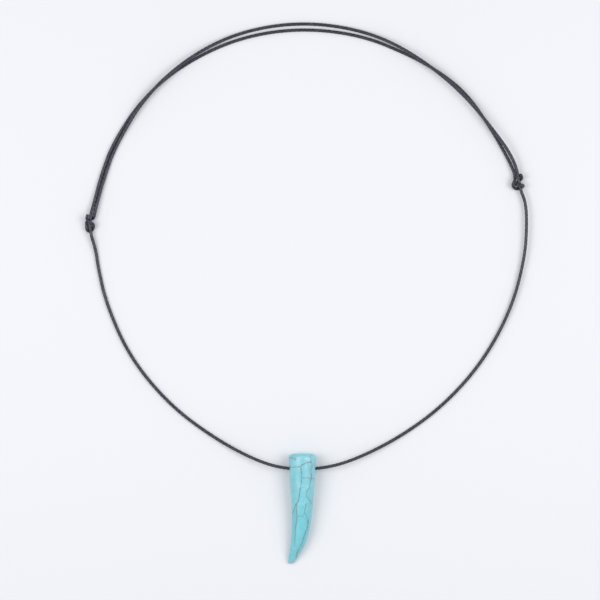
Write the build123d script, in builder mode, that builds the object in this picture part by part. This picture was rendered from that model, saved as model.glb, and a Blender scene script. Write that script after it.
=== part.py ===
"""Adjustable necklace lying flat: a horn-shaped stone pendant, drilled crosswise near its wide end, on one thin
waxed cord. The cord's two ends run side by side over the top of the loop, and each is knotted round the other
strand, so that the two knots slide and set the loop's size.

Millimetres, +Z up. The origin is the middle of the loop on the surface that everything lies on. +X is to the right
and +Y away from the pendant, which points along -Y."""

import os
from math import pi, radians, tan

from build123d import *

# Pendant
pendant_length = 40.0
pendant_width = 10.2
pendant_thickness = 9.2
pendant_x = -1.65  # middle of the wide end
pendant_top = -75.4
rim_radius = 1.7
tip_radius = 0.5
tip_radius_most = 0.39  # the most of the tip's width or thickness that its rounding takes
bore_from_top = 5.6
bore_clearance = 0.35  # all round the cord
bore_edge = 0.2

# Cord
cord_diameter = 1.2
crossing_gap = 3.0  # between the two strands where one passes over the other
mouth_straight = 1.5  # how far the cord runs on straight past the side of the pendant
arc_share = 0.45  # share of the shorter run that each arc of the route takes up

# Heights of the cord's middle: lying on the surface, held inside a knot, and passing over the other strand.
cord_lie = cord_diameter / 2
held_height = 1.65 * cord_diameter
over_height = cord_lie + cord_diameter + crossing_gap

# Sections of the pendant, from its wide end to its tip. Each row: the share of the length down from the wide end,
# the shares of the full width and the full thickness, and how far the middle lies to the right, as a share of width.
PENDANT_SECTIONS = [
    # down, wide, thick, right
    (0.000, 1.000, 1.000, 0.000),
    (0.111, 0.955, 0.970, 0.000),
    (0.222, 0.897, 0.920, 0.000),
    (0.333, 0.840, 0.865, -0.004),
    (0.444, 0.775, 0.800, -0.010),
    (0.556, 0.709, 0.730, -0.018),
    (0.667, 0.647, 0.660, -0.048),
    (0.778, 0.558, 0.570, -0.121),
    (0.889, 0.412, 0.412, -0.250),
    (1.000, 0.155, 0.150, -0.420),
]


def thickness_at(down):
    """The pendant's thickness at a share of its length, between the rows of the table."""
    for upper, lower in zip(PENDANT_SECTIONS, PENDANT_SECTIONS[1:]):
        if upper[0] <= down <= lower[0]:
            share = (down - upper[0]) / (lower[0] - upper[0])
            return pendant_thickness * (upper[2] + share * (lower[2] - upper[2]))


# The bore runs along X through the middle of the pendant's thickness, and the cord leaves it straight.
bore_diameter = cord_diameter + 2 * bore_clearance
bore_y = pendant_top - bore_from_top
bore_height = thickness_at(bore_from_top / pendant_length) / 2
mouth_reach = pendant_width / 2 + mouth_straight

# The left half of the cord: out of the pendant to the left, up the side, straight through the left knot, and over
# the top as far as the right knot, where it is tied.
CORD_LEFT_ROUTE = [
    (pendant_x, bore_y, bore_height),
    (pendant_x - mouth_reach, bore_y, bore_height),
    (-19.4, -77.6, 2.3),
    (-34.0, -69.7, cord_lie),
    (-50.1, -57.7, cord_lie),
    (-64.5, -40.4, cord_lie),
    (-73.0, -21.0, cord_lie),
    (-75.9, -8.0, cord_lie),
    (-76.8, -1.3, 0.8),
    (-78.9, 5.2, held_height),
    (-78.8, 10.8, held_height),
    (-77.3, 16.1, 1.1),
    (-74.8, 25.8, cord_lie),
    (-70.5, 37.5, cord_lie),
    (-59.8, 53.7, cord_lie),
    (-44.8, 66.3, cord_lie),
    (-24.7, 75.8, cord_lie),
    (-2.8, 79.2, cord_lie),
    (19.2, 76.8, cord_lie),
    (37.0, 69.6, cord_lie),
    (49.1, 62.7, cord_lie),
    (58.8, 54.6, cord_lie),
    (68.0, 40.9, cord_lie),
    (73.15, 31.6, 0.9),
    (74.95, 27.5, 1.5),
]

# The right half of the cord, the same way round from the other side. It passes over the left half three times: once
# at the upper left, and twice at the upper right, where it stays up in between.
CORD_RIGHT_ROUTE = [
    (pendant_x, bore_y, bore_height),
    (pendant_x + mouth_reach, bore_y, bore_height),
    (17.0, -77.9, 2.3),
    (33.9, -69.5, cord_lie),
    (50.1, -57.6, cord_lie),
    (64.2, -41.7, cord_lie),
    (74.4, -22.7, 1.2),
    (79.2, -4.1, 1.8),
    (79.9, 8.6, 2.1),
    (79.4, 16.0, 2.0),
    (77.5, 20.5, held_height),
    (76.6, 26.3, held_height),
    (75.0, 31.3, 3.0),
    (70.9, 38.1, over_height),
    (56.2, 56.2, over_height),
    (37.7, 70.7, over_height),
    (19.6, 78.7, cord_lie),
    (-2.8, 81.5, cord_lie),
    (-25.3, 77.7, cord_lie),
    (-44.0, 68.0, over_height),
    (-58.7, 54.4, over_height),
    (-69.4, 36.9, cord_lie),
    (-73.6, 25.2, 0.9),
    (-76.1, 16.3, 1.5),
    (-77.2, 11.6, 1.7),
]

# Turns of each knot, from where the tied strand enters to its cut end, in cord diameters. Each row: along the strand
# that the knot holds, to the left of that strand, and up from it.
LEFT_KNOT_TURNS = [
    # along, left, up
    (1.80, -1.00, -0.70),
    (1.40, -0.30, -1.10),
    (1.10, 0.50, -1.10),
    (0.70, 1.05, -0.80),
    (-0.10, 1.05, -0.50),
    (-1.05, 0.98, -0.42),
    (-1.85, 0.95, -0.65),
    (-2.25, 0.35, -1.08),
    (-2.00, -0.45, -1.15),
    (-1.35, -0.95, -0.75),
    (-0.60, -1.15, -0.05),
    (0.05, -0.90, 0.65),
    (0.45, -0.20, 1.10),
    (0.85, 0.50, 0.98),
    (1.45, 0.95, 0.55),
    (2.10, 0.95, 0.42),
    (2.80, 0.70, 0.72),
]
RIGHT_KNOT_TURNS = [
    # along, left, up
    (2.20, 1.00, -0.35),
    (1.30, 1.05, -0.10),
    (0.50, 1.20, 0.45),
    (-0.25, 1.88, 0.78),
    (-1.25, 2.06, 0.15),
    (-2.05, 1.30, -0.75),
    (-2.10, 0.20, -1.20),
    (-1.75, -0.85, -0.90),
    (-1.40, -1.15, 0.15),
    (-1.15, -0.55, 1.05),
    (-1.00, 0.50, 1.10),
    (-0.80, 1.12, 0.10),
    (-0.30, 0.75, -0.95),
    (0.25, -0.15, -1.15),
    (0.75, -0.95, -0.70),
    (1.35, -1.08, 0.20),
    (2.10, -0.65, 0.88),
]
KNOT_LEAD = 0.7  # straight stretch where a tied strand enters its knot, in cord diameters
LEFT_KNOT_RUN = 9  # the run of the left route that passes through the left knot, counted from 0
RIGHT_KNOT_RUN = 10  # the run of the right route that passes through the right knot


def arc_radii(points):
    """The radius at each corner of a route: as large as its two runs allow."""
    radii = []
    for before, corner, after in zip(points, points[1:], points[2:]):
        arriving = corner - before
        leaving = after - corner
        shorter = min(arriving.length, leaving.length)
        radii.append(arc_share * shorter / tan(radians(arriving.get_angle(leaving)) / 2))
    return radii


def cord_tube(points):
    """A round tube along a route of straight runs joined by tangent arcs."""
    with BuildPart() as tube:
        with BuildLine() as route:
            FilletPolyline(*points, radius=arc_radii(points))
        with BuildSketch(Plane(origin=points[0], z_dir=points[1] - points[0])):
            Circle(cord_diameter / 2)
        sweep(path=route.line)
    return tube, route.wires()[0]


def knot_points(held_run, tied_route, turns):
    """The places that a knot's cord turns at. The turns are set out from the middle of the run that it holds, after
    a straight stretch that carries on from the tied strand."""
    low, high = held_run
    along = (high - low).normalized()
    left = Vector(0, 0, 1).cross(along).normalized()
    up = along.cross(left)
    middle = (low + high) / 2
    entry = tied_route[-1]
    lead = (entry - tied_route[-2]).normalized() * KNOT_LEAD * cord_diameter
    places = [middle + (along * a + left * b + up * c) * cord_diameter for a, b, c in turns]
    return [entry, entry + lead] + places


def section_plane(down, thick, right):
    """The plane of one section, square to the pendant's length, whose ellipse touches the surface below."""
    x = pendant_x + right * pendant_width
    y = pendant_top - down * pendant_length
    return Plane(origin=(x, y, thick * pendant_thickness / 2), x_dir=(1, 0, 0), z_dir=(0, -1, 0))


os.makedirs("parts", exist_ok=True)

# Pendant: a horn that tapers and bends to the left, with a rounded rim and tip, and a bore for the cord.
with BuildPart() as pendant:
    for down, wide, thick, right in PENDANT_SECTIONS:
        with BuildSketch(section_plane(down, thick, right)):
            Ellipse(wide * pendant_width / 2, thick * pendant_thickness / 2)
    loft()
    ends = pendant.faces().filter_by(GeomType.PLANE).sort_by(Axis.Y)
    fillet(ends[-1].edges(), radius=rim_radius)
    tip_size = min(PENDANT_SECTIONS[-1][1] * pendant_width, PENDANT_SECTIONS[-1][2] * pendant_thickness)
    fillet(ends[0].edges(), radius=min(tip_radius, tip_radius_most * tip_size))
    with BuildSketch(Plane(origin=(pendant_x, bore_y, bore_height), z_dir=(1, 0, 0))):
        Circle(bore_diameter / 2)
    extrude(amount=pendant_width, both=True, mode=Mode.SUBTRACT)
    fillet(pendant.edges(Select.LAST).filter_by(GeomType.BSPLINE), radius=bore_edge)
pendant.part.label = "pendant"
export_step(pendant.part, "parts/pendant.step")

# Cord: two halves that meet in the middle of the bore.
left_points = [Vector(*place) for place in CORD_LEFT_ROUTE]
cord_left, left_line = cord_tube(left_points)
cord_left.part.label = "cord_left"
export_step(cord_left.part, "parts/cord_left.step")

right_points = [Vector(*place) for place in CORD_RIGHT_ROUTE]
cord_right, right_line = cord_tube(right_points)
cord_right.part.label = "cord_right"
export_step(cord_right.part, "parts/cord_right.step")

# Knots: each half's end, wound round the other half's strand.
left_held = left_points[LEFT_KNOT_RUN : LEFT_KNOT_RUN + 2]
knot_left_points = knot_points(left_held, right_points, LEFT_KNOT_TURNS)
knot_left, knot_left_line = cord_tube(knot_left_points)
knot_left.part.label = "knot_left"
export_step(knot_left.part, "parts/knot_left.step")

right_held = right_points[RIGHT_KNOT_RUN : RIGHT_KNOT_RUN + 2]
knot_right_points = knot_points(right_held, left_points, RIGHT_KNOT_TURNS)
knot_right, knot_right_line = cord_tube(knot_right_points)
knot_right.part.label = "knot_right"
export_step(knot_right.part, "parts/knot_right.step")

# The runs and radii of each stretch of cord, and its volume beside that of a straight cord as long.
cord_section = pi * (cord_diameter / 2) ** 2
for tube, line, points in [
    (cord_left, left_line, left_points),
    (cord_right, right_line, right_points),
    (knot_left, knot_left_line, knot_left_points),
    (knot_right, knot_right_line, knot_right_points),
]:
    runs = [(after - before).length for before, after in zip(points, points[1:])]
    print(tube.part.label, round(line.length, 1), "mm,", round(tube.part.volume / line.length / cord_section, 4))
    print("  runs", [round(run, 1) for run in runs])
    print("  radii", [round(radius, 1) for radius in arc_radii(points)])
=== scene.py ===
"""Adjustable necklace lying flat: a horn-shaped turquoise pendant, bored crosswise near its wide end, on one thin
waxed cord, with a sliding knot at each side. Metres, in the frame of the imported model."""
import math

import bmesh
import bpy
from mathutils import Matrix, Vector, noise
from mathutils.kdtree import KDTree


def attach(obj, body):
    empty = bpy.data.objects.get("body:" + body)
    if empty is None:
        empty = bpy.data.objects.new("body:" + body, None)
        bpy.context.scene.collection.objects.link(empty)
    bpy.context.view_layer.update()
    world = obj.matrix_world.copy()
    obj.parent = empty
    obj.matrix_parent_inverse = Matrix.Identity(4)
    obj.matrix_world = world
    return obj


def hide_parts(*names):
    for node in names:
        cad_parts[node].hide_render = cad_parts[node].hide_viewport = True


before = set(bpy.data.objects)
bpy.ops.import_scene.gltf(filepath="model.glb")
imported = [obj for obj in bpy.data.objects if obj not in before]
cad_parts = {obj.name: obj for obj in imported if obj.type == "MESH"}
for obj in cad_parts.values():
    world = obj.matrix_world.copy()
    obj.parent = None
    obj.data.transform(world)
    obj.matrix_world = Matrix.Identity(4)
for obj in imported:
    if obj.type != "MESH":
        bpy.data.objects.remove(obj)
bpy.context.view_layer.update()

MM = 0.001
scene = bpy.context.scene


# Camera: straight above the surface, as far off as a long lens needs to take in a field 218 mm wide.
field = 218.2 * MM
height = 2400 * MM
field_middle = (-2.55 * MM, -19.63 * MM)
sensor = 36
lens = bpy.data.cameras.new("camera")
lens.sensor_width = sensor
lens.lens = sensor * height / field
camera = bpy.data.objects.new("camera", lens)
camera.location = (*field_middle, height)
scene.collection.objects.link(camera)
scene.camera = camera


# Cord, in millimetres
cord_diameter = 1.2
cord_lie = cord_diameter / 2  # height of its middle where it lies on the surface
held_height = 1.65 * cord_diameter  # and where a knot holds it
ply_lay = 4.5  # length of one turn of the three plies
ply_out = 0.09 * cord_diameter  # from the cord's middle to each ply's
ring_step = 0.16
ring_sides = 24

# Routes of the two halves of the cord in millimetres, from the middle of the bore to where each is tied. The
# stretches that pass over the other half lie lower than the model's, but still clear of it.
CORD_LEFT_ROUTE = [
    (-1.65, -81.0, 4.4),
    (-8.25, -81.0, 4.4),
    (-19.4, -77.6, 2.3),
    (-34.0, -69.7, cord_lie),
    (-50.1, -57.7, cord_lie),
    (-64.5, -40.4, cord_lie),
    (-73.0, -21.0, cord_lie),
    (-75.9, -8.0, cord_lie),
    (-76.8, -1.3, 0.8),
    (-78.9, 5.2, held_height),
    (-78.8, 10.8, held_height),
    (-77.3, 16.1, 1.1),
    (-74.8, 25.8, cord_lie),
    (-70.5, 37.5, cord_lie),
    (-59.8, 53.7, cord_lie),
    (-44.8, 66.3, cord_lie),
    (-24.7, 75.8, cord_lie),
    (-2.8, 79.2, cord_lie),
    (19.2, 76.8, cord_lie),
    (37.0, 69.6, cord_lie),
    (49.1, 62.7, cord_lie),
    (58.8, 54.6, cord_lie),
    (68.0, 40.9, cord_lie),
    (73.15, 31.6, 0.9),
    (74.95, 27.5, 1.5),
]
CORD_RIGHT_ROUTE = [
    (-1.65, -81.0, 4.4),
    (4.95, -81.0, 4.4),
    (17.0, -77.9, 2.3),
    (33.9, -69.5, cord_lie),
    (50.1, -57.6, cord_lie),
    (64.2, -41.7, cord_lie),
    (74.4, -22.7, 1.2),
    (79.2, -4.1, 1.8),
    (79.9, 8.6, 2.1),
    (79.4, 16.0, 2.0),
    (77.5, 20.5, held_height),
    (76.6, 26.3, held_height),
    (75.0, 31.3, 2.6),
    (70.9, 38.1, 3.2),
    (56.2, 56.2, 3.2),
    (37.7, 70.7, 3.2),
    (19.6, 78.7, cord_lie),
    (-2.8, 81.5, cord_lie),
    (-25.3, 77.7, cord_lie),
    (-44.0, 68.0, 2.7),
    (-58.7, 54.4, 2.7),
    (-69.4, 36.9, cord_lie),
    (-73.6, 25.2, 0.9),
    (-76.1, 16.3, 1.5),
    (-77.2, 11.6, 1.7),
]

# Turns of each knot, from where the tied strand enters to its cut end, in cord diameters. Each row: along the strand
# that the knot holds, to the left of that strand, and up from it.
LEFT_KNOT_TURNS = [
    (1.80, -1.00, -0.70),
    (1.40, -0.30, -1.10),
    (1.10, 0.50, -1.10),
    (0.70, 1.05, -0.80),
    (-0.10, 1.05, -0.50),
    (-1.05, 0.98, -0.42),
    (-1.85, 0.95, -0.65),
    (-2.25, 0.35, -1.08),
    (-2.00, -0.45, -1.15),
    (-1.35, -0.95, -0.75),
    (-0.60, -1.15, -0.05),
    (0.05, -0.90, 0.65),
    (0.45, -0.20, 1.10),
    (0.85, 0.50, 0.98),
    (1.45, 0.95, 0.55),
    (2.10, 0.95, 0.42),
    (2.80, 0.70, 0.72),
]
RIGHT_KNOT_TURNS = [
    (2.20, 1.00, -0.35),
    (1.30, 1.05, -0.10),
    (0.50, 1.20, 0.45),
    (-0.25, 1.88, 0.78),
    (-1.25, 2.06, 0.15),
    (-2.05, 1.30, -0.75),
    (-2.10, 0.20, -1.20),
    (-1.75, -0.85, -0.90),
    (-1.40, -1.15, 0.15),
    (-1.15, -0.55, 1.05),
    (-1.00, 0.50, 1.10),
    (-0.80, 1.12, 0.10),
    (-0.30, 0.75, -0.95),
    (0.25, -0.15, -1.15),
    (0.75, -0.95, -0.70),
    (1.35, -1.08, 0.20),
    (2.10, -0.65, 0.88),
]
KNOT_LEAD = 0.7  # how far the tied strand carries straight on before its turns, in cord diameters
LEFT_KNOT_RUN = 9  # the place in the held half's route, counted from 0, where the stretch inside the knot starts
RIGHT_KNOT_RUN = 10


def knot_points(held_run, tied_route, turns):
    """The places that a knot's cord turns at, after a straight stretch that carries on from the tied strand."""
    low, high = held_run
    along = (high - low).normalized()
    left = Vector((0, 0, 1)).cross(along).normalized()
    up = along.cross(left)
    middle = (low + high) / 2
    entry = tied_route[-1]
    lead = (entry - tied_route[-2]).normalized() * KNOT_LEAD * cord_diameter
    return [entry + lead] + [middle + (along * a + left * b + up * c) * cord_diameter for a, b, c in turns]


def smooth_line(points):
    """The line of a NURBS spline that has the points as its control points."""
    curve = bpy.data.curves.new("line", "CURVE")
    curve.dimensions = "3D"
    curve.resolution_u = 48
    spline = curve.splines.new("NURBS")
    spline.points.add(len(points) - 1)
    for point, place in zip(spline.points, points):
        point.co = (*place, 1)
    spline.order_u = 3
    spline.use_endpoint_u = True
    bare = bpy.data.objects.new("line", curve)
    mesh = bpy.data.meshes.new_from_object(bare)
    line = [vertex.co.copy() for vertex in mesh.vertices]
    bpy.data.objects.remove(bare)
    bpy.data.curves.remove(curve)
    bpy.data.meshes.remove(mesh)
    return line


def evenly_spaced(line, step):
    """The line again with its points the same distance apart, as near to step as its length allows."""
    along = [0.0]
    for before, after in zip(line, line[1:]):
        along.append(along[-1] + (after - before).length)
    count = round(along[-1] / step)
    spaced = []
    i = 0
    for n in range(count + 1):
        at = along[-1] * n / count
        while i < len(line) - 2 and along[i + 1] < at:
            i += 1
        share = (at - along[i]) / (along[i + 1] - along[i])
        spaced.append(line[i].lerp(line[i + 1], min(share, 1)))
    return spaced


def ply_section():
    """The cord's outline across: three tightly laid plies, with shallow grooves between them."""
    curve = bpy.data.curves.new("ply_section", "CURVE")
    curve.dimensions = "2D"
    spline = curve.splines.new("POLY")
    spline.points.add(ring_sides - 1)
    for side, point in enumerate(spline.points):
        angle = 2 * math.pi * side / ring_sides
        radius = ply_reach(angle) * MM
        point.co = (radius * math.cos(angle), radius * math.sin(angle), 0, 1)
    spline.use_cyclic_u = True
    section = bpy.data.objects.new("ply_section", curve)
    scene.collection.objects.link(section)
    return section


def ply_reach(angle):
    """How far the cord's outline reaches from its middle at an angle: furthest on the crest of each ply."""
    ply_radius = cord_diameter / 2 - ply_out
    off = (angle + math.pi / 3) % (2 * math.pi / 3) - math.pi / 3
    return ply_out * math.cos(off) + math.sqrt(ply_radius**2 - (ply_out * math.sin(off)) ** 2)


def twisted_cord(line, section):
    """A mesh of twisted cord along an evenly spaced line, still open at both ends, one ring of points after another."""
    step = (line[1] - line[0]).length
    curve = bpy.data.curves.new("twisted", "CURVE")
    curve.dimensions = "3D"
    curve.bevel_mode = "OBJECT"
    curve.bevel_object = section
    spline = curve.splines.new("POLY")
    spline.points.add(len(line) - 1)
    for ring, (point, place) in enumerate(zip(spline.points, line)):
        point.co = (*(place * MM), 1)
        # whole turns are left off, because a point's tilt has a limit
        point.tilt = -2 * math.pi * (ring * step / ply_lay % 1)
    # the cut end is singed, which rounds it
    for ring, share in ((-1, 0.60), (-2, 0.84), (-3, 0.96)):
        spline.points[ring].radius = share
    tube = bpy.data.objects.new("twisted", curve)
    scene.collection.objects.link(tube)
    shown = tube.evaluated_get(bpy.context.evaluated_depsgraph_get())
    mesh = bpy.data.meshes.new_from_object(shown)
    bpy.data.objects.remove(tube)
    bpy.data.curves.remove(curve)
    # the place of each point in the cord's own space, for its fibres, and how deep it lies between the plies
    crest = ply_reach(0)
    valley = ply_reach(math.pi / 3)
    space = []
    groove = []
    for index in range(len(mesh.vertices)):
        ring, side = divmod(index, ring_sides)
        angle = 2 * math.pi * side / ring_sides
        reach = ply_reach(angle)
        space += [reach * math.cos(angle) * MM, reach * math.sin(angle) * MM, ring * step * MM]
        groove.append((crest - reach) / (crest - valley))
    mesh.attributes.new("cord_space", "FLOAT_VECTOR", "POINT").data.foreach_set("vector", space)
    mesh.attributes.new("groove", "FLOAT", "POINT").data.foreach_set("value", groove)
    return mesh


def stretch_of_cord(name, mesh, first_ring, last_ring):
    """One piece of a twisted cord, from one ring to another, closed at both ends."""
    piece = bmesh.new()
    piece.from_mesh(mesh)
    piece.verts.ensure_lookup_table()
    outside = [v for v in piece.verts if not first_ring <= v.index // ring_sides <= last_ring]
    bmesh.ops.delete(piece, geom=outside, context="VERTS")
    bmesh.ops.holes_fill(piece, edges=[e for e in piece.edges if e.is_boundary])
    bmesh.ops.recalc_face_normals(piece, faces=piece.faces)
    for face in piece.faces:
        face.smooth = len(face.verts) == 4
    return new_piece(name, piece)


def new_piece(name, shape):
    """A piece at the origin, from a bmesh that is already in place."""
    mesh = bpy.data.meshes.new(name)
    shape.to_mesh(mesh)
    shape.free()
    piece = bpy.data.objects.new(name, mesh)
    scene.collection.objects.link(piece)
    return piece


section = ply_section()
left_route = [Vector(place) for place in CORD_LEFT_ROUTE]
right_route = [Vector(place) for place in CORD_RIGHT_ROUTE]
cords = {}
for side, tied, held, run, turns in [
    ("left", left_route, right_route, RIGHT_KNOT_RUN, RIGHT_KNOT_TURNS),
    ("right", right_route, left_route, LEFT_KNOT_RUN, LEFT_KNOT_TURNS),
]:
    line = evenly_spaced(smooth_line(tied + knot_points(held[run : run + 2], tied, turns)), ring_step)
    entry = min(range(len(line)), key=lambda ring: (line[ring] - tied[-1]).length)
    mesh = twisted_cord(line, section)
    other = "right" if side == "left" else "left"
    cord = stretch_of_cord("waxed_cord_" + side, mesh, 0, entry)
    knot = stretch_of_cord("sliding_knot_" + other, mesh, entry, len(line) - 1)
    bpy.data.meshes.remove(mesh)
    for piece, node in ((cord, "cord_" + side), (knot, "knot_" + other)):
        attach(piece, "root")
        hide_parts(node)
    path = [place * MM for place in line[: entry + 1]]
    length = sum((after - before).length for before, after in zip(path, path[1:]))
    print("cord_" + side, round(length / MM, 1), "mm, knot", round((len(line) - 1 - entry) * ring_step, 1), "mm")
    cords[side] = (cord, knot)
bpy.data.curves.remove(section.data)


# Pendant: the model's own horn, on an even mesh fine enough to carry its veins. Sizes are in millimetres.
MESH_STEP = 0.13
LAST_SLICE = 39.0  # how far down the horn is measured across
MERGE_WITHIN = 0.0005  # how close together points of the model are joined
VEIN_STRAY = 0.14  # the furthest that a vein can stray from its drawn line, down the horn and again round it
VEIN_STEPS = 60  # points between one turn of a vein and the next

# Veins, each with how dark it is, half its width in millimetres, and the turns that it takes. Each turn: millimetres
# down from the wide end, and degrees round the horn, where 0 is its right side, 90 its top, 180 its left side and 270
# its underside.
VEINS = [
    (0.70, 0.34, [(4.2, 200), (4.3, 180), (4.8, 159), (4.9, 135), (4.7, 119), (4.7, 101)]),
    (0.80, 0.34, [(4.7, 101), (4.0, 92), (3.6, 81), (3.2, 75), (2.9, 64), (3.1, 54)]),
    (0.90, 0.30, [(4.7, 101), (5.5, 96), (6.9, 95), (8.4, 95), (10.5, 96), (12.0, 98)]),
    (0.80, 0.34, [(12.0, 98), (13.1, 101), (14.5, 104), (16.0, 107), (17.3, 111), (18.2, 122)]),
    (1.00, 0.32, [(18.2, 122), (18.9, 131), (20.0, 138), (21.1, 148)]),
    (0.60, 0.32, [(21.1, 148), (22.6, 180), (21.9, 214), (19.5, 240)]),
    (
        0.75,
        0.32,
        [(18.2, 122), (20.0, 124), (21.8, 122), (23.3, 121), (25.1, 125), (27.0, 130), (29.1, 126), (31.0, 124)],
    ),
    (0.50, 0.32, [(31.0, 124), (32.4, 119), (34.0, 117)]),
    (0.55, 0.36, [(0.0, 55), (1.1, 54), (2.6, 52), (4.0, 44), (5.5, 49), (6.9, 48)]),
    (0.90, 0.36, [(6.9, 48), (8.4, 45), (9.5, 48)]),
    (
        0.75,
        0.32,
        [(9.5, 48), (10.9, 52), (12.4, 54), (13.1, 63), (14.2, 69), (15.3, 69), (16.0, 61), (16.9, 49), (18.1, 30)],
    ),
    (0.70, 0.30, [(18.1, 30), (19.4, -20), (18.6, -48), (20.7, -75)]),
    (0.75, 0.42, [(8.9, 95), (8.7, 88), (8.6, 69), (8.9, 53)]),
    (0.60, 0.32, [(8.9, 53), (9.0, 24), (9.6, 2), (8.8, -26), (10.2, -52), (9.5, -85)]),
    (0.85, 0.30, [(18.0, 65), (19.1, 70), (20.0, 75), (21.1, 77)]),
    (0.55, 0.30, [(21.1, 77), (21.8, 70), (22.9, 62), (24.0, 50)]),
    (1.00, 0.42, [(24.0, 50), (25.5, 44), (27.0, 44)]),
    (0.95, 0.34, [(27.0, 44), (27.9, 52), (28.8, 55), (29.9, 56), (31.0, 61), (32.4, 58), (33.5, 63), (34.6, 65)]),
    (1.00, 0.46, [(34.6, 65), (35.7, 70), (37.2, 58), (38.3, 31), (38.9, -60)]),
    (0.40, 0.42, [(22.6, 121), (22.7, 101), (22.6, 84), (21.5, 74)]),
    (0.50, 0.60, [(1.5, 160), (1.3, 139), (2.0, 120)]),
    (0.35, 0.36, [(2.9, 64), (4.4, 63), (5.8, 60)]),
    (0.80, 0.30, [(4.2, 200), (5.6, 222), (4.9, 250), (6.4, 275), (9.5, 268), (13.2, 276), (16.8, 262), (19.5, 240)]),
    (0.60, 0.30, [(12.0, 200), (15.5, 205), (18.9, 196), (22.3, 200)]),
    (0.80, 0.30, [(20.7, 285), (24.6, 276), (28.3, 290), (31.7, 265), (35.5, 250)]),
    (0.60, 0.30, [(26.0, 215), (29.2, 204), (33.0, 214), (36.2, 200)]),
    (0.55, 0.30, [(13.2, 276), (14.4, 300), (13.4, 325), (14.9, 345)]),
]

# Patches in the stone's tone: how much paler than the rest, or deeper where below 0, millimetres down, degrees round,
# and half the patch's length and width in millimetres. Most are cloudy patches of the stone; one is painted shade.
PATCHES = [
    # the first two rows make two pale spots on top near the wide end
    (0.8, 2.2, 66, 0.9, 1.0),
    (0.7, 2.8, 112, 1.2, 0.9),
    (0.4, 5.5, 75, 2.5, 1.2),
    (0.6, 9.8, 116, 2.4, 0.6),
    (0.1, 17.5, 92, 2.0, 1.3),
    (0.5, 27.5, 112, 5.0, 0.5),
    (0.4, 35.0, 110, 3.0, 0.6),
    # the next two rows make the upper left flank deeper and the upper right flank paler
    (-0.4, 12.5, 148, 6.0, 0.9),
    (0.6, 12.5, 24, 7.0, 0.9),
    (-0.4, 1.4, 140, 1.0, 1.8),
    # painted shade: a darker band along the top edge of the wide end
    (-0.5, 0.3, 90, 0.7, 5.0),
    (-0.4, 24.5, 152, 5.0, 0.8),
    (-0.3, 22.5, 60, 2.2, 0.9),
    (-0.4, 34.0, 40, 4.0, 0.8),
    (-0.4, 14.0, 250, 4.0, 2.0),
    (0.5, 8.0, 300, 3.0, 1.5),
    (-0.4, 28.0, 320, 4.0, 1.5),
]
PATCH_REACH = 6  # the squared distance from a patch's middle, in its half sizes, where it ends


def slices_of(horn):
    """The middle and half size of the horn across, at each whole millimetre down from its wide end."""
    top = max(v.co.y for v in horn.vertices)
    slices = {}
    for vertex in horn.vertices:
        slices.setdefault(round((top - vertex.co.y) / MM), []).append(vertex.co)
    sizes = {}
    for down, places in slices.items():
        low = Vector(min(p[k] for p in places) for k in range(3))
        high = Vector(max(p[k] for p in places) for k in range(3))
        sizes[down] = ((low + high) / 2, (high - low) / 2)
    return top, sizes


def place_on(slices, down, angle, stray=0.0):
    """The place on the horn so many millimetres down and degrees round, and then a stray further round in metres."""
    top, sizes = slices
    down = min(max(down, 0.0), LAST_SLICE)
    middle, half = sizes[int(down)]
    after, half_after = sizes[int(down) + 1]
    middle = middle.lerp(after, down - int(down))
    half = half.lerp(half_after, down - int(down))
    turn = math.radians(angle) + stray / max(half.x, MM)
    return Vector((middle.x + half.x * math.cos(turn), top - down * MM, middle.z + half.z * math.sin(turn)))


def vein_points(slices):
    """Points along each vein on the horn's surface, close together, with how dark the vein is there and half its
    width."""
    points = []
    for dark, half_width, turns in VEINS:
        for (down_a, angle_a), (down_b, angle_b) in zip(turns, turns[1:]):
            for n in range(VEIN_STEPS):
                share = n / VEIN_STEPS
                down = down_a + share * (down_b - down_a)
                angle = angle_a + share * (angle_b - angle_a)
                stray = noise.noise_vector(Vector((down * 0.9, angle * 0.07, dark * 9))) * VEIN_STRAY
                place = place_on(slices, down + stray.x, angle, stray.y * MM)
                thickness = 0.8 + 0.6 * noise.noise(place / (1.1 * MM))
                points.append((place, dark * min(max(thickness, 0.4), 1.0), half_width))
    return points


def patch_tone(place, patches):
    """How much paler or deeper the patches make the stone at a place."""
    tone = 0.0
    for strength, middle, half_length, half_width in patches:
        off = place - middle
        far = (off.y / half_length) ** 2 + (off.x**2 + off.z**2) / half_width**2
        if far < PATCH_REACH:
            tone += strength * math.exp(-far)
    return tone


noise.seed_set(1)  # or else the veins would stray differently each run
model = bpy.data.objects["pendant"]
merged = bmesh.new()
merged.from_mesh(model.data)
bmesh.ops.remove_doubles(merged, verts=merged.verts, dist=MERGE_WITHIN * MM)
rough = new_piece("rough", merged)
even = rough.modifiers.new("even", "REMESH")
even.mode = "VOXEL"
even.voxel_size = MESH_STEP * MM
follow = rough.modifiers.new("follow", "SHRINKWRAP")
follow.target = model
polish = rough.modifiers.new("polish", "SMOOTH")
polish.factor = 0.5
polish.iterations = 2
shown = rough.evaluated_get(bpy.context.evaluated_depsgraph_get())
horn = bpy.data.meshes.new_from_object(shown)
bpy.data.objects.remove(rough)
horn.name = "turquoise_horn"
for polygon in horn.polygons:
    polygon.use_smooth = True
slices = slices_of(horn)
veins = vein_points(slices)
tree = KDTree(len(veins))
for index, (place, dark, half_width) in enumerate(veins):
    tree.insert(place, index)
tree.balance()
nearest = [tree.find(vertex.co) for vertex in horn.vertices]
vein_off = [off / MM / veins[index][2] for place, index, off in nearest]
vein_dark = [veins[index][1] for place, index, off in nearest]
patches = [(paler, place_on(slices, down, angle), long * MM, wide * MM) for paler, down, angle, long, wide in PATCHES]
patch = [patch_tone(vertex.co, patches) for vertex in horn.vertices]
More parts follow.
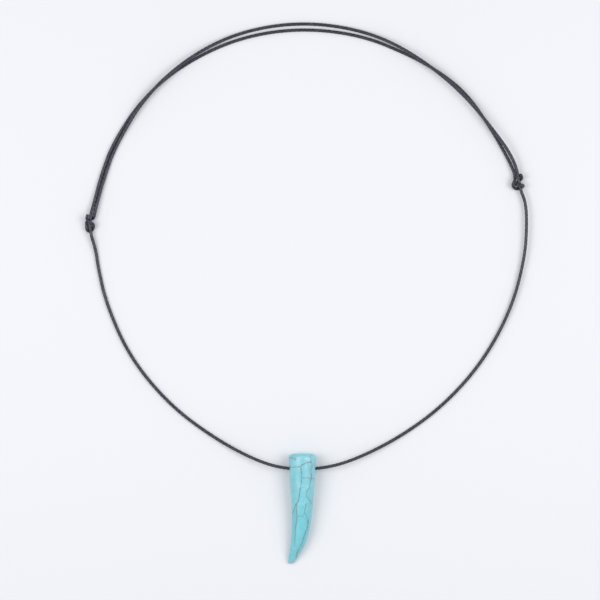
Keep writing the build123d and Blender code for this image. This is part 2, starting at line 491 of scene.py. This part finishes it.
horn.attributes.new("vein_off", "FLOAT", "POINT").data.foreach_set("value", vein_off)
horn.attributes.new("vein_dark", "FLOAT", "POINT").data.foreach_set("value", vein_dark)
horn.attributes.new("patch", "FLOAT", "POINT").data.foreach_set("value", patch)
pendant = bpy.data.objects.new("turquoise_pendant", horn)
scene.collection.objects.link(pendant)
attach(pendant, "root")
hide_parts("pendant")
print("pendant faces", len(horn.polygons))


# Materials
def linear(hex_colour):
    """An sRGB hex colour as linear red, green, blue and alpha."""
    channels = [int(hex_colour[i : i + 2], 16) / 255 for i in (1, 3, 5)]
    return [c / 12.92 if c <= 0.04045 else ((c + 0.055) / 1.055) ** 2.4 for c in channels] + [1]


def add(tree, kind, inputs={}, **settings):
    """A new shader node with its settings. Each input is given a value, or the socket that feeds it."""
    node = tree.nodes.new("ShaderNode" + kind)
    for name, value in settings.items():
        setattr(node, name, value)
    for key, value in inputs.items():
        if isinstance(value, bpy.types.NodeSocket):
            tree.links.new(value, node.inputs[key])
        else:
            node.inputs[key].default_value = value
    return node


def mixed(tree, share, low, high):
    """The colour between two others, by a share."""
    return add(tree, "Mix", {0: share, 6: low, 7: high}, data_type="RGBA").outputs[2]


def eased(tree, value, low, high, most=1.0):
    """A value brought softly from 0 at low to most at high."""
    steps = {"Value": value, "From Min": low, "From Max": high, "To Max": most}
    return add(tree, "MapRange", steps, interpolation_type="SMOOTHSTEP").outputs["Result"]


def new_material(name, *pieces):
    """A material with its shader, given to pieces."""
    material = bpy.data.materials.new(name)
    material.use_nodes = True
    for piece in pieces:
        piece.data.materials.clear()
        piece.data.materials.append(material)
    return material.node_tree, material.node_tree.nodes["Principled BSDF"]


def polished_turquoise():
    """Turquoise, tumbled and waxed: an even blue-green with cloudy paler patches, crossed by fine grey-brown
    veins of the stone that it formed in, under a soft polish. It is paler down its upper right flank and deeper down
    its upper left, and shade is painted along the top edge of its wide end."""
    tree, shader = new_material("polished_turquoise", pendant)
    place = add(tree, "TexCoord").outputs["Object"]
    clouds = add(tree, "TexNoise", {"Vector": place, "Scale": 1 / (6.5 * MM), "Detail": 3, "Roughness": 0.5})
    mottle = add(tree, "TexNoise", {"Vector": place, "Scale": 1 / (1.5 * MM), "Detail": 4, "Roughness": 0.6})
    both = add(tree, "Mix", {0: 0.35, 2: clouds.outputs["Fac"], 3: mottle.outputs["Fac"]})
    # the drawn patches, among them painted shade along the top edge of the wide end
    drawn = add(tree, "Attribute", attribute_name="patch").outputs["Fac"]
    clouds_and_painted_shade = add(tree, "Math", {0: drawn, 1: 0.16, 2: both.outputs[0]}, operation="MULTIPLY_ADD")
    tone = add(tree, "MapRange", {"Value": clouds_and_painted_shade.outputs[0], "From Min": 0.34, "From Max": 0.66})
    length = add(tree, "SeparateXYZ", {"Vector": place})
    head = eased(tree, length.outputs["Y"], -103 * MM, -76 * MM)
    deep = mixed(tree, head, linear("#63b9c4"), linear("#75bcc8"))
    pale = mixed(tree, head, linear("#7ac8d3"), linear("#90ccd6"))
    body = mixed(tree, tone.outputs["Result"], deep, pale)
    # hairlines, too fine to stand out: a net about 3 mm wide that shows in patches
    bent = add(tree, "TexNoise", {"Vector": place, "Scale": 1 / (2.2 * MM), "Detail": 2})
    bend = add(
        tree,
        "VectorMath",
        {0: bent.outputs["Color"], 1: (1.4 * MM, 1.4 * MM, 1.4 * MM), 2: place},
        operation="MULTIPLY_ADD",
    )
    net = add(tree, "TexVoronoi", {"Vector": bend.outputs[0], "Scale": 1 / (3.4 * MM)}, feature="DISTANCE_TO_EDGE")
    hairline = eased(tree, net.outputs["Distance"], 0.045, 0.0, 0.5)
    where = eased(tree, clouds.outputs["Fac"], 0.46, 0.6)
    faint = add(tree, "Math", {0: hairline, 1: where}, operation="MULTIPLY")
    lined = mixed(tree, faint.outputs[0], body, linear("#5f9fa6"))
    # veins, with a little of their brown soaked into the stone beside them; off is in half widths
    off = add(tree, "Attribute", attribute_name="vein_off").outputs["Fac"]
    dark = add(tree, "Attribute", attribute_name="vein_dark").outputs["Fac"]
    core = eased(tree, off, 1.0, 0.25)
    soaked = eased(tree, off, 2.3, 0.5, 0.22)
    stain = add(tree, "Math", {0: soaked, 1: dark}, operation="MULTIPLY")
    vein = add(tree, "Math", {0: core, 1: dark}, operation="MULTIPLY")
    stained = mixed(tree, stain.outputs[0], lined, linear("#74aaa9"))
    veined = mixed(tree, vein.outputs[0], stained, linear("#6c7872"))
    tree.links.new(veined, shader.inputs["Base Color"])
    rough = add(
        tree,
        "MapRange",
        {"Value": mottle.outputs["Fac"], "From Min": 0.3, "From Max": 0.7, "To Min": 0.27, "To Max": 0.38},
    )
    tree.links.new(rough.outputs["Result"], shader.inputs["Roughness"])
    shader.inputs["IOR"].default_value = 1.61
    sunk = add(tree, "Math", {0: vein.outputs[0], 1: -0.5, 2: mottle.outputs["Fac"]}, operation="MULTIPLY_ADD")
    relief = add(tree, "Bump", {"Strength": 0.25, "Distance": 0.03 * MM, "Height": sunk.outputs[0]})
    tree.links.new(relief.outputs["Normal"], shader.inputs["Normal"])


def waxed_cord():
    """Black polyester cord of three twisted plies, drawn through wax: charcoal, a little paler where the wax lies
    thick, with shade painted darker into the grooves between the plies, and a satin sheen along its fibres."""
    pieces = [piece for pair in cords.values() for piece in pair]
    tree, shader = new_material("waxed_black_cord", *pieces)
    space = add(tree, "Attribute", attribute_name="cord_space").outputs["Vector"]
    groove = add(tree, "Attribute", attribute_name="groove").outputs["Fac"]
    wax = add(tree, "TexNoise", {"Vector": space, "Scale": 1 / (0.9 * MM), "Detail": 3, "Roughness": 0.6})
    waxed = eased(tree, wax.outputs["Fac"], 0.42, 0.66)
    fibre_space = add(tree, "VectorMath", {0: space, 1: (1, 1, 0.08)}, operation="MULTIPLY")
    fibre = add(
        tree,
        "TexNoise",
        {"Vector": fibre_space.outputs[0], "Scale": 1 / (0.07 * MM), "Detail": 2, "Roughness": 0.5},
    )
    shown = mixed(tree, waxed, linear("#272833"), linear("#40424f"))
    # painted shade: the grooves between the plies are darkened in the colour, where shade falls between them
    deep = eased(tree, groove, 0.45, 1.0, 0.75)
    shade_in_grooves = mixed(tree, deep, shown, linear("#14151b"))
    tree.links.new(shade_in_grooves, shader.inputs["Base Color"])
    rough = add(
        tree,
        "MapRange",
        {"Value": wax.outputs["Fac"], "From Min": 0.35, "From Max": 0.65, "To Min": 0.36, "To Max": 0.26},
    )
    tree.links.new(rough.outputs["Result"], shader.inputs["Roughness"])
    shader.inputs["IOR"].default_value = 1.45
    relief = add(tree, "Bump", {"Strength": 0.3, "Distance": 0.02 * MM, "Height": fibre.outputs["Fac"]})
    tree.links.new(relief.outputs["Normal"], shader.inputs["Normal"])


def matt_white_board(floor):
    """White board, painted and matt, faintly cool."""
    tree, shader = new_material("matt_white_board", floor)
    place = add(tree, "TexCoord").outputs["Object"]
    paint = add(tree, "TexNoise", {"Vector": place, "Scale": 1 / (1.2 * MM), "Detail": 2})
    shader.inputs["Base Color"].default_value = linear("#e0e0e3")
    shader.inputs["Roughness"].default_value = 0.8
    relief = add(tree, "Bump", {"Strength": 0.05, "Distance": 0.02 * MM, "Height": paint.outputs["Fac"]})
    tree.links.new(relief.outputs["Normal"], shader.inputs["Normal"])


polished_turquoise()
waxed_cord()

board = bmesh.new()
bmesh.ops.create_grid(board, x_segments=1, y_segments=1, size=1.5)
floor = new_piece("floor", board)
matt_white_board(floor)


# Light: a large softbox at each side, and pale surroundings.
softbox_out = 0.35
softbox_up = 0.5
softbox_size = 0.35
softbox_watts = 1.52
surroundings_strength = 0.67


def softbox(name, place):
    """A square softbox that faces the middle of the necklace."""
    light = bpy.data.lights.new(name, "AREA")
    light.shape = "SQUARE"
    light.size = softbox_size
    light.energy = softbox_watts
    box = bpy.data.objects.new(name, light)
    box.location = place
    box.rotation_euler = (Vector(place) * -1).to_track_quat("-Z", "Y").to_euler()
    scene.collection.objects.link(box)


softbox("softbox_left", (-softbox_out, 0.0, softbox_up))
softbox("softbox_right", (softbox_out, 0.0, softbox_up))
world = bpy.data.worlds.new("studio")
world.use_nodes = True
world.node_tree.nodes["Background"].inputs["Color"].default_value = linear("#f4f6fa")
world.node_tree.nodes["Background"].inputs["Strength"].default_value = surroundings_strength
scene.world = world
scene.view_settings.view_transform = "Standard"
